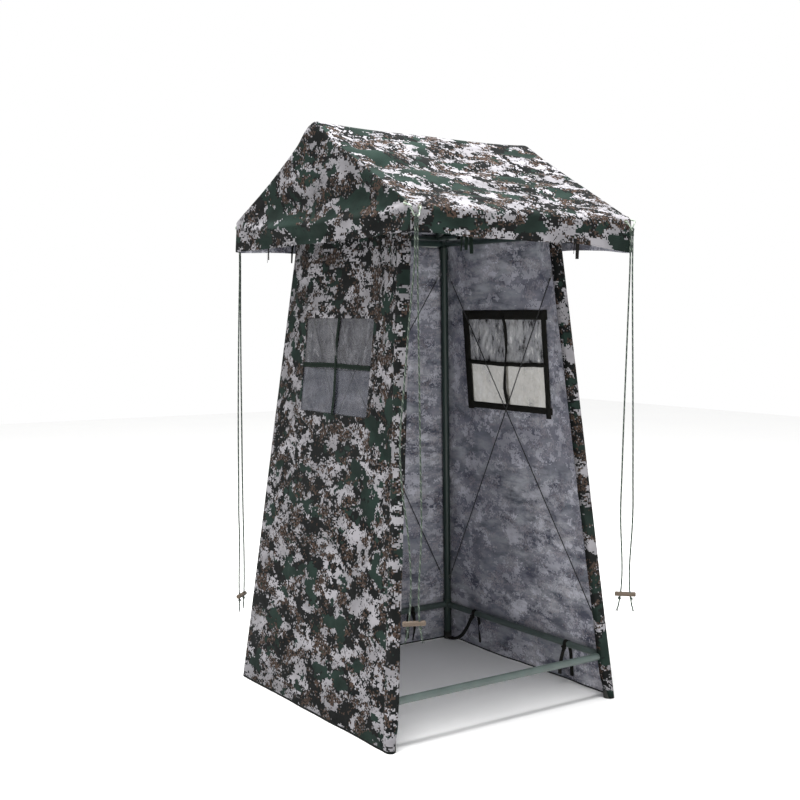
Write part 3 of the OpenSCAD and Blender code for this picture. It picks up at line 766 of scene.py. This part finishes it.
def settle(p):
    """Shifts that the slopes, gables and valances share where they meet."""
    x, y, z = p
    a = x / HALF_L
    dip = 0.0012 * (1 - a * a) * (1.2 - 0.7 * cos(2 * pi * a))
    z += bell((RIDGE_H - z) / 0.05) * (0.011 * a**6 - dip)
    drop = max(0.0, (EAVE_H - z) / VALANCE)
    if drop > 0:
        flare = 0.006 * min(1.0, drop)
        x += np.sign(x) * flare * eased(abs(x), HALF_L - 0.02, HALF_L - 0.005)
        y += np.sign(y) * flare * eased(abs(y), HALF_D - 0.02, HALF_D - 0.005)
        # The hem is drawn up at the near corner and hangs lower at its two neighbours.
        near = bell((x + HALF_L) / 0.25, (y + HALF_D) / 0.30)
        low = sum(bell((x - cx * HALF_L) / 0.22, (y - cy * HALF_D) / 0.28)
                  for cx, cy in ((1, -1), (-1, 1)))
        z += drop * (0.008 * near - 0.009 * low + 0.004 * drift(x * 7 + y * 7, 0.5, 3.3))
    z -= (0.002 + 0.015 * min(1.0, drop)) * bell((x - HALF_L) / 0.16, (y + HALF_D) / 0.16)
    # The rear left corner is pulled out and up by its guy line.
    pulled = bell((x + HALF_L) / 0.20, (y - HALF_D) / 0.22)
    # The left apex stands proud of its tube, and the slopes beside it too, so it looks round.
    proud = bell((x + HALF_L) / 0.12, (z - RIDGE_H) / 0.16)
    loose = bell((x + HALF_L) / 0.16, (abs(y) - 0.055) / 0.045) * eased(z, 2.30, 2.38)
    x -= 0.009 * pulled + 0.009 * proud
    y += 0.006 * pulled + 0.007 * loose * np.sign(y)
    z += 0.010 * pulled * (1 - drop) + 0.010 * loose - 0.004 * proud
    return Vector((x, y, z))


def roof_parts():
    """The two slopes with their valances, and the two gables with theirs."""
    xs = stations(-HALF_L, HALF_L, step=0.019)
    down = stations(0.0, SLOPE, step=0.019) + [SLOPE + VALANCE * k / 7 for k in range(1, 8)]
    parts = []
    for s in (-1, 1):

        def slope_point(x, r, s=s):
            if r <= SLOPE:
                y, z = r / SLOPE * HALF_D, RIDGE_H - r / SLOPE * RISE
                lift = slope_fold(x * -s, r)
                y += lift * sin(PITCH)
                z += lift * cos(PITCH)
            else:
                drop = (r - SLOPE) / VALANCE
                y = HALF_D + valance_wave(x, HALF_L, drop, 2.0 + s)
                z = EAVE_H - drop * VALANCE
            return settle((x, s * y, z))

        columns = xs if s < 0 else xs[::-1]
        parts.append(turned_over(grid_parts(columns, down, slope_point,
                                            lambda x, r, s=s: (x + 2.0 + s, r + 3.0))))
    ys = [-(r / SLOPE) * HALF_D for r in down if r <= SLOPE][::-1]
    ys += [-y for y in ys[-2::-1]]
    rows = [-1 + k / 7 for k in range(8)] + [k / 14 for k in range(1, 15)]
    for s in (-1, 1):

        def gable_point(y, r, s=s):
            z = gable_z(y, r)
            fold = gable_fold(y, z, roof_z(y))
            if r <= 0:
                x = HALF_L + valance_wave(y, HALF_D, -r, 6.0 + s) + fold * (1 + r) ** 0.5
            else:
                x = HALF_L + fold
            return settle((s * x, y, z))

        columns = ys if s > 0 else ys[::-1]
        parts.append(grid_parts(columns, rows, gable_point,
                                lambda y, r, s=s: (y + 6.0 + 2 * s, gable_z(y, r))))
    return parts


def add_roof():
    roof = joined("roof_cover_cloth", roof_parts(), [PRINT, REVERSE])
    cleaned(roof)
    bm = bmesh.new()
    bm.from_mesh(roof.data)
    # Fabric turns over the tubes in a small curve, not in a sharp fold.
    folds = [v for v in bm.verts
             if any(e.is_manifold and e.calc_face_angle(0) > 0.35 for e in v.link_edges)]
    for _ in range(2):
        bmesh.ops.smooth_vert(bm, verts=folds, factor=0.35, use_axis_x=True, use_axis_y=True,
                              use_axis_z=True)
    bm.to_mesh(roof.data)
    bm.free()
    thicken(roof, ROOF_CLOTH)
    place(roof, "roof_cover")


add_roof()

# ---- walls ----

CORNER_R = 0.020
WINDOW_LOW = WINDOW_Z - WINDOW_H / 2 * LEAN_COS
WINDOW_HIGH = WINDOW_Z + WINDOW_H / 2 * LEAN_COS


def wall_fold(a, z, seed, window):
    """How far a wall bellies out (or in, below 0) of its flat shape."""
    edge = eased(half(z) - abs(a), 0.035, 0.13)
    tail = eased(z, 0.0, 0.10) * eased(FRAME_H + 0.02 - z, 0.0, 0.12)
    wide = 0.013 * drift(a * 2.4 + seed, z * 1.3, seed)
    hung = 0.0055 * drift(a * 8.5 + 0.6 * z, z * 1.1, seed + 3.7)
    small = 0.0030 * drift(a * 9 - z * 2, z * 9, seed + 8.2)
    creases = 0.0
    if window:
        for cx in (-1, 1):
            for cz, way in ((WINDOW_LOW, -1), (WINDOW_HIGH, 1)):
                dx, dz = abs(a) * (1 if a * cx > 0 else -1) - WINDOW_W / 2, (z - cz) * way
                if dx > 0 and dz > 0:
                    lean = atan2(dz, dx)
                    creases += 0.005 * sin(lean * 9 + seed) * np.exp(-hypot(dx, dz) / 0.16)
        near = max(abs(a) - WINDOW_W / 2, abs(z - WINDOW_Z) - WINDOW_H / 2)
        wide *= 0.45 + 0.55 * eased(near, 0.0, 0.15)
        hung *= eased(near, -0.02, 0.12)
    fine = 0.002 * drift(a * 20, z * 20, seed) * tail
    fold = (wide + hung * tail + small + creases + fine) * edge
    if window:
        # The webbing sewn round the opening lies on the inner face.
        fold = max(fold, -0.0012 - 0.12 * max(0.0, near - 0.055))
    if fold > 0:
        return fold
    # It can't go inwards where a rail lies behind it.
    return fold * eased(abs(z - RAIL_H), 0.018, 0.09) * eased(FRAME_H - z, 0.035, 0.10)


def wall_rows(z_top, *fixed):
    return stations(HEM_Z, *fixed, z_top, step=0.022)


def hem_rise(along, z, seed):
    """How far an uneven hem stands up from its straight line."""
    return 0.0012 * (0.5 + drift(along, 0.2, seed)) * eased(0.05 - z, 0.0, 0.05)


def wall_piece(name, part, thickness, node):
    wall = joined(name, [part], [PRINT, REVERSE])
    cleaned(wall)
    thicken(wall, thickness)
    place(wall, node)
    return wall


def add_side_wall(name, side, node, seed):
    """A side wall with its window opening; its rear edge turns onto the back wall."""
    rear = 1 if side == RIGHT else -1
    z_top = FRAME_H + 0.012
    inner = WINDOW_W / 2
    flat_edge = BASE_W / 2 - CORNER_R
    turns = [flat_edge + CORNER_R * k * pi / 12 for k in range(1, 7)]
    lap = [turns[-1] + 0.012, turns[-1] + 0.026]
    columns = stations(-flat_edge, -inner, inner, flat_edge, step=0.022) + turns + lap

    def spread(u, z):
        """Along the wall: straight below and above the window, and splayed outside it."""
        if abs(u) <= inner:
            return u
        edge = half(z) - CORNER_R
        return np.sign(u) * (inner + (abs(u) - inner) / (flat_edge - inner) * (edge - inner))

    def point(u, z):
        height = z + hem_rise(u * 9, z, seed)
        if u <= flat_edge + 1e-6:
            a = rear * spread(u, z)
            return plan_point(side, a, -wall_fold(a, z, seed, True), height)
        phi = min(pi / 2, (u - flat_edge) / CORNER_R)
        run_on = max(0.0, u - turns[-1])
        a = half(z) - CORNER_R + CORNER_R * sin(phi)
        return plan_point(side, rear * a, CORNER_R * (1 - cos(phi)) + run_on, height)

    def keep(u, z):
        return not (abs(u) < inner and WINDOW_LOW < z < WINDOW_HIGH)

    part = grid_parts(columns, wall_rows(z_top, WINDOW_LOW, WINDOW_HIGH), point,
                      lambda u, z: (rear * u + 10 + 3 * side, z / LEAN_COS), keep)
    wall = wall_piece(name, turned_over(part) if rear < 0 else part, WALL_CLOTH, node)


def add_back_wall():
    edge_gap = 0.006
    z_top = FRAME_H - 0.018
    seed = 12.0

    def point(u, z):
        a = u * (half(z) - edge_gap)
        return plan_point(BACK, a, 0.0032 - wall_fold(a, z, seed, False),
                          z + hem_rise(u * 5, z, seed))

    part = grid_parts(stations(-1.0, 1.0, step=0.034), wall_rows(z_top), point,
                      lambda u, z: (u * half(z) + 20, z / LEAN_COS))
    wall = wall_piece("back_wall_cloth", part, WALL_CLOTH, "back_wall")


def add_leg_sleeve(name, s, seed, strip):
    """The strip that laps over a side wall, turns round a front leg and is tucked in."""
    lap, inner_r, tail = 0.040, 0.009, 0.030
    proud = 0.0012
    z_top = FRAME_H - 0.020
    # The strip's section round the leg, as insets from the side face and from the front face.
    section = [(0, lap), (0, 0.030), (0, CORNER_R)]
    section += [(CORNER_R * (1 - cos(p)), CORNER_R * (1 - sin(p)))
                for p in np.linspace(0, pi / 2, 6)[1:]]
    section += [(0.028, 0), (strip - inner_r, 0)]
    section += [(strip - inner_r + inner_r * sin(p), inner_r * (1 - cos(p)))
                for p in np.linspace(0, pi / 2, 5)[1:]]
    section += [(strip, 0.018), (strip - 0.002, tail)]
    run = [0.0]
    for (a0, b0), (a1, b1) in zip(section[:-1], section[1:]):
        run.append(run[-1] + hypot(a1 - a0, b1 - b0))

    def point(k, z):
        inset, depth = section[k]
        free = eased(run[k], 0.05, 0.10)
        loose = (0.0035 * drift(z * 5.5, 0.4 * run[k] * 10, seed)
                 + 0.002 * drift(z * 15, run[k] * 20, seed))
        inset = inset * (1 - 0.35 * eased(0.11 - z, 0.0, 0.11) * (inset > 0.02))
        along = half(z) - inset + proud * (depth > 0.001) * (inset < 0.02) - loose * free
        return plan_point(FRONT, s * along, depth - proud * (inset < 0.04) - loose * free * 0.5,
                          z + hem_rise(k * 0.4, z, seed))

    def flat(k, z):
        start = 10 + 3 * (RIGHT if s > 0 else LEFT)
        return (s * (0.60 - run[k]) + start + (1.2 if s > 0 else 0), z / LEAN_COS)

    part = grid_parts(range(len(section)), wall_rows(z_top), point, flat)
    sleeve = wall_piece(name, turned_over(part) if s > 0 else part, SLEEVE_CLOTH, "leg_sleeves")


add_side_wall("right_wall_cloth", RIGHT, "right_wall", 5.0)
add_side_wall("left_wall_cloth", LEFT, "left_wall", 31.0)
add_back_wall()
add_leg_sleeve("leg_sleeve_left", -1, 41.0, strip=0.043)
add_leg_sleeve("leg_sleeve_right", 1, 47.0, strip=0.056)

# ---- windows ----


def film_shape(a, z, seed):
    """The crumple of the clear film, most where it is held at its edges."""
    edge = min(WINDOW_W / 2 - abs(a), WINDOW_H / 2 - abs(z - WINDOW_Z) / LEAN_COS)
    upper = eased(z, WINDOW_Z - 0.03, WINDOW_Z + 0.06)
    wave = (0.006 * drift(a * 9, z * 3, seed)
            + 0.0045 * drift(a * 24 + z * 9, z * 8, seed + 2) * (0.3 + 0.7 * upper))
    ridged = 1 - 2 * abs(drift(a * 30 + z * 16, z * 12, seed + 5))
    sharp = 0.0028 * ridged * (0.25 + 0.75 * upper)
    return (wave + sharp) * eased(edge, 0.0, 0.05) - 0.0017


def add_window(side, label, seed):
    """Film, webbing round it on the inner face, and crossed straps on both faces."""
    w, low, high = WINDOW_W / 2, WINDOW_LOW, WINDOW_HIGH
    seam = 0.006  # how far the film runs on past the opening, all round
    columns = stations(-WINDOW_W / 2 - seam, WINDOW_W / 2 + seam, step=0.006)
    rows = stations(low - seam, high + seam, step=0.006)
    part = grid_parts(columns, rows,
                      lambda a, z: plan_point(side, a, -film_shape(a, z, seed) + 0.0008, z),
                      lambda a, z: (a, z))
    film = joined("window_film_" + label, [part], [FILM[label]])
    film.modifiers.new("thickness", "SOLIDIFY").thickness = 0.0005
    place(film, "window_pane_" + label)

    level = facing(side) @ Vector((1, 0, 0))
    upward = facing(side) @ Vector((0, LEAN, 1)).normalized()
    inner, outer = 0.0040, -0.0012  # depths of the webbing and of the outside straps
    front = -1 if side == RIGHT else 1  # the window's edge nearer the open front

    def lying(a, z, depth, seed_, da=0.0, dz=0.0):
        """A point of a tape that lies a little unevenly on the wall."""
        return plan_point(side, a + da, depth + 0.0006 * drift(a * 12, z * 12, seed_), z + dz)

    def level_tape(a0, a1, z, depth, number, size, wave=0.002, bow=0.0):
        points = [lying(a, z + bow * (1 - (2 * (a - a0) / (a1 - a0) - 1) ** 2), depth,
                        seed + number, dz=wave * drift(a * 14, 3.0, seed + number))
                  for a in np.linspace(a0, a1, 15)]
        return tape_parts(points, *size, upward)

    def upright_tape(a, z0, z1, depth, number, size, wave=0.002, bow=0.0, twist=None):
        points = [lying(a + bow * sin(pi * 2 * (z - z0) / (z1 - z0)), z, depth, seed + number,
                        da=wave * drift(z * 14, 5.0, seed + number))
                  for z in np.linspace(z0, z1, 15)]
        return tape_parts(points, *size, level, twist=twist)

    def trim(name, parts, tape):
        place(joined(f"window_{name}_{label}", parts, [tape]),
              "window_trim_" + label)

    thick, over = 0.0018, 0.003  # the webbing's thickness, and its overlap on the film
    top_w, near_w, far_w, low_w = 0.044, 0.032, 0.044, 0.030
    trim("border", [
        level_tape(-w - 0.036, w + 0.028, high + top_w / 2 - over, inner, 0, (top_w, thick)),
        level_tape(-w - 0.036, w + 0.020, low - low_w / 2 + over, inner, 1, (low_w, thick)),
        upright_tape(front * (w + near_w / 2 - over), low - 0.046, high + 0.040, inner + 0.002, 2,
                     (near_w, thick)),
        upright_tape(-front * (w + far_w / 2 - over), low - 0.034, high + 0.040, inner + 0.002, 3,
                     (far_w, thick))], TAPE_BLACK)
    trim("straps_inside", [
        level_tape(-w - 0.012, w + 0.012, WINDOW_Z - 0.004, inner + 0.004, 4, (0.019, 0.0015),
                   0.004, -0.006),
        upright_tape(0.0, low - 0.010, high + 0.010, inner + 0.006, 5, (0.016, 0.0015), 0.006,
                     0.014, twist=lambda t: 0.35 * sin(9 * t))], TAPE_BLACK)
    trim("straps_outside", [
        level_tape(-w - 0.004, w + 0.004, WINDOW_Z - 0.002, outer, 6, (0.020, 0.0012), 0.003,
                   0.004),
        upright_tape(0.004, low - 0.004, high + 0.004, outer - 0.0016, 7, (0.016, 0.0012), 0.003,
                     0.005)], TAPE_GREEN)


add_window(RIGHT, "right", 3.0)
add_window(LEFT, "left", 13.0)

# ---- ties behind the valance ----


def loop_points(centre, axis, radius, count=28):
    """Points once round an axis, for a tape that goes round a tube."""
    axis = Vector(axis).normalized()
    side = axis.cross(UP).normalized()
    turn = [0.3 + 2 * pi * k / (count - 1) for k in range(count)]
    return [Vector(centre) + radius * (side * cos(t) + UP * sin(t)) for t in turn]


def add_tie(name, centre, axis, inward, tails, tape):
    """A tape tied round an eave rail, with tails that hang below the valance."""
    axis, inward = Vector(axis), Vector(inward)
    round_rail = loop_points(centre, axis, RAIL_D / 2 + 0.0011)
    parts = [tape_parts(round_rail, 0.018, 0.0012, axis, spacing=0.004)]
    knot = Vector(centre) + inward * (RAIL_D / 2 + 0.005) - UP * 0.004
    parts.append(knot_parts(knot, 0.009, 0.006))
    for offset, drop, width, swing in tails:
        start = knot + axis * offset * 0.25
        end_z = EAVE_H - VALANCE - drop
        below = Vector((centre[0], centre[1], 0)) + inward * 0.012
        points = [start, start + axis * offset * 0.4 - UP * 0.025,
                  below + axis * offset + inward * swing * 0.4 + UP * (EAVE_H - VALANCE + 0.02),
                  below + axis * offset * 1.3 + inward * swing + UP * end_z]
        way = 1 if offset > 0 else -1
        parts.append(tape_parts(points, width, 0.0009, axis, spacing=0.006,
                                twist=lambda t, w=way: 0.9 * w * t * (1 - t * 0.3),
                                taper=lambda t: 1.0 - 0.25 * t))
    place(joined("valance_tie_" + name, parts, [tape]), "valance_ties")


def add_ties():
    for s, name in ((-1, "front"), (1, "back")):
        add_tie(name + "_left", (-0.285, s * EAVE_Y, EAVE_Z), (1, 0, 0), (0, -s, 0),
                [(-0.018, 0.050, 0.019, 0.002), (0.003, 0.044, 0.016, 0.006),
                 (0.018, 0.058, 0.018, -0.004)], TAPE_GREEN)
        add_tie(name + "_right", (0.285, s * EAVE_Y, EAVE_Z), (1, 0, 0), (0, -s, 0),
                [(0.004, 0.060, 0.018, 0.002), (-0.008, 0.040, 0.010, 0.006)], TAPE_BLACK)
    for s, name in ((-1, "gable_left"), (1, "gable_right")):
        add_tie(name, (s * EAVE_X, 0.455, EAVE_Z), (0, 1, 0), (-s, 0, 0),
                [(0.008, 0.062, 0.010, 0.004), (-0.010, 0.050, 0.008, -0.003)], TAPE_BLACK)


add_ties()

# ---- straps from the walls' hem to the bottom rails ----


def add_rail_straps():
    rail_c = half(RAIL_H) - SEAM_INSET / LEAN_COS
    for side, label in SIDES:
        level, inward = facing(side) @ Vector((1, 0, 0)), facing(side) @ Vector((0, 1, 0))
        parts = []
        for k, a in enumerate((-0.330, 0.330)):
            centre = facing(side) @ Vector((a, -rail_c, RAIL_H))
            hem = plan_point(side, a, 0.0045, 0.030)
            up_wall = plan_point(side, a, 0.0040, RAIL_H - 0.050)
            round_rail = [centre + (RAIL_D / 2 + 0.0014) * (-inward * cos(t) + UP * sin(t))
                          for t in np.linspace(-0.2, pi + 0.6, 14)]
            drop = 0.105 + 0.02 * drift(a * 5, side, 1.0)
            tail = [(0.024, 0.000, 0.035), (0.034 + 0.01 * k, 0.004, 0.035 + drop * 0.5),
                    (0.030 + 0.018 * k, 0.012, 0.035 + drop)]
            if side == RIGHT and k == 1:
                # This one is longer, and its end trails back to the rear leg's foot.
                tail = [(0.024, 0.006, 0.030), (0.020, 0.045, 0.085), (0.016, 0.095, 0.135),
                        (0.016, 0.150, 0.160), (0.020, 0.195, 0.168)]
            tail = [centre + inward * a_in + level * a_on - UP * down
                    for a_in, a_on, down in tail]
            parts.append(tape_parts([hem, up_wall] + round_rail, 0.022, 0.0014, level,
                                    spacing=0.005))
            flow = tail[-1] - tail[0]
            across = level if abs(flow.dot(level)) < 0.1 else (level * 0.64 + UP * 0.77)
            parts.append(tape_parts([round_rail[-1], *tail], 0.020, 0.0014, across, spacing=0.005,
                                    twist=lambda t: -0.5 * t, taper=lambda t: 1.0 - 0.2 * t))
            knot = centre + inward * 0.020 - UP * 0.016
            parts.append(knot_parts(knot, 0.010, 0.0075, 0.5))
        place(joined("rail_straps_" + label, parts, [TAPE_BLACK]), "rail_straps")


add_rail_straps()

# ---- wall braces ----

BRACE_TOP, BRACE_LOW, BRACE_D = 1.860, 0.340, 0.005
RING_R, WIRE, HOOK_R, HOOK_L = 0.009, 0.003, 0.0055, 0.026


def wall_plane(side, x, up, out):
    """A point of a wall's own plane: along it, up its slope and out of it."""
    tilt = Matrix.Rotation(pi / 2 - atan(LEAN), 3, "X")
    return facing(side) @ (tilt @ Vector((x, up, out)) + Vector((0, -BASE_W / 2, 0)))


def ring_at(s, z, layer):
    x = half(z) - SEAM_INSET / LEAN_COS - LEG_D / 2 - RING_R - WIRE / 2 - 0.0003
    return Vector((s * x, z / LEAN_COS, -SEAM_INSET + 0.0035 * layer))


def add_braces():
    start = (RING_R - WIRE - 0.00015 + 2 * HOOK_R) + HOOK_L - 0.004
    for side, label in SIDES:
        parts = []
        for s in (-1, 1):
            top, low = ring_at(s, BRACE_TOP, s), ring_at(-s, BRACE_LOW, s)
            way = (ring_at(-s, BRACE_LOW, 0) - ring_at(s, BRACE_TOP, 0)).normalized()
            a, b = top + way * start, low - way * start
            line = [wall_plane(side, *a.lerp(b, t)) for t in (0, 0.25, 0.5, 0.75, 1)]
            parts.append(rope_parts(smooth_route(line, 0.006), BRACE_D, turn=0.022, sides=9))
            for end, inward in ((a, way), (b, -way)):
                # A bound end where the cord is folded back through the hook's eye.
                out = Vector((-inward[1], inward[0], 0))
                wrap = [end + inward * (0.003 + 0.011 * k / 39) + out * 0.0032 * cos(t)
                        + UP * 0.0032 * sin(t) for k, t in enumerate(np.linspace(0, 8 * pi, 40))]
                wrap = smooth_route([wall_plane(side, *p) for p in wrap], 0.0015)
                parts.append(rope_parts(wrap, 0.0022, turn=0.008, sides=6))
        cords = joined("brace_cords_cloth_" + label, parts, [CORD])
        place(cords, "brace_cords_" + label)


add_braces()

# ---- the frame's own finishes ----

NODE_FINISH = {"feet": RUBBER, "bottom_corner_joints": FITTING, "leg_heads": FITTING,
               "eave_saddles": FITTING, "eave_corner_joints": FITTING, "ridge_tees": FITTING,
               "brace_rings": STEEL, "brace_hooks": STEEL, "roof_eyelets": EYELET}


def finish_frame():
    for name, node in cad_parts.items():
        if node.hide_render:
            continue
        if name.startswith("bottom_rail"):
            finish = PAINT_PALE
        elif name.startswith("guy_slider"):
            finish = WOOD
        else:
            finish = NODE_FINISH.get(name, PAINT_DARK)
        node.data.materials.clear()
        node.data.materials.append(finish)
        if name == "roof_eyelets":
            node.data.shade_smooth()


finish_frame()

# ---- stage and lights ----


def add_stage():
    span = 14.0
    square = [(-span, -span, 0), (span, -span, 0), (span, span, 0), (-span, span, 0)]
    mesh_piece("floor", square, [(0, 1, 2, 3)], materials=[studio_floor("studio_floor")])
    world = bpy.data.worlds.new("studio")
    world.use_nodes = True
    background = world.node_tree.nodes["Background"].inputs
    background["Color"].default_value = (1, 1, 1, 1)
    background["Strength"].default_value = 1.0
    bpy.context.scene.world = world


def add_light(name, at, target, size, power):
    data = bpy.data.lights.new(name, "AREA")
    data.shape = "SQUARE"
    data.size = size
    data.energy = power
    way = (Vector(target) - Vector(at)).to_track_quat("-Z", "Y")
    linked(name, data).matrix_world = Matrix.Translation(at) @ way.to_matrix().to_4x4()


add_stage()
add_light("key", (-0.7, -0.5, 6.4), (0, 0, 1.6), 2.2, 760)
bpy.context.scene.view_settings.view_transform = "Standard"
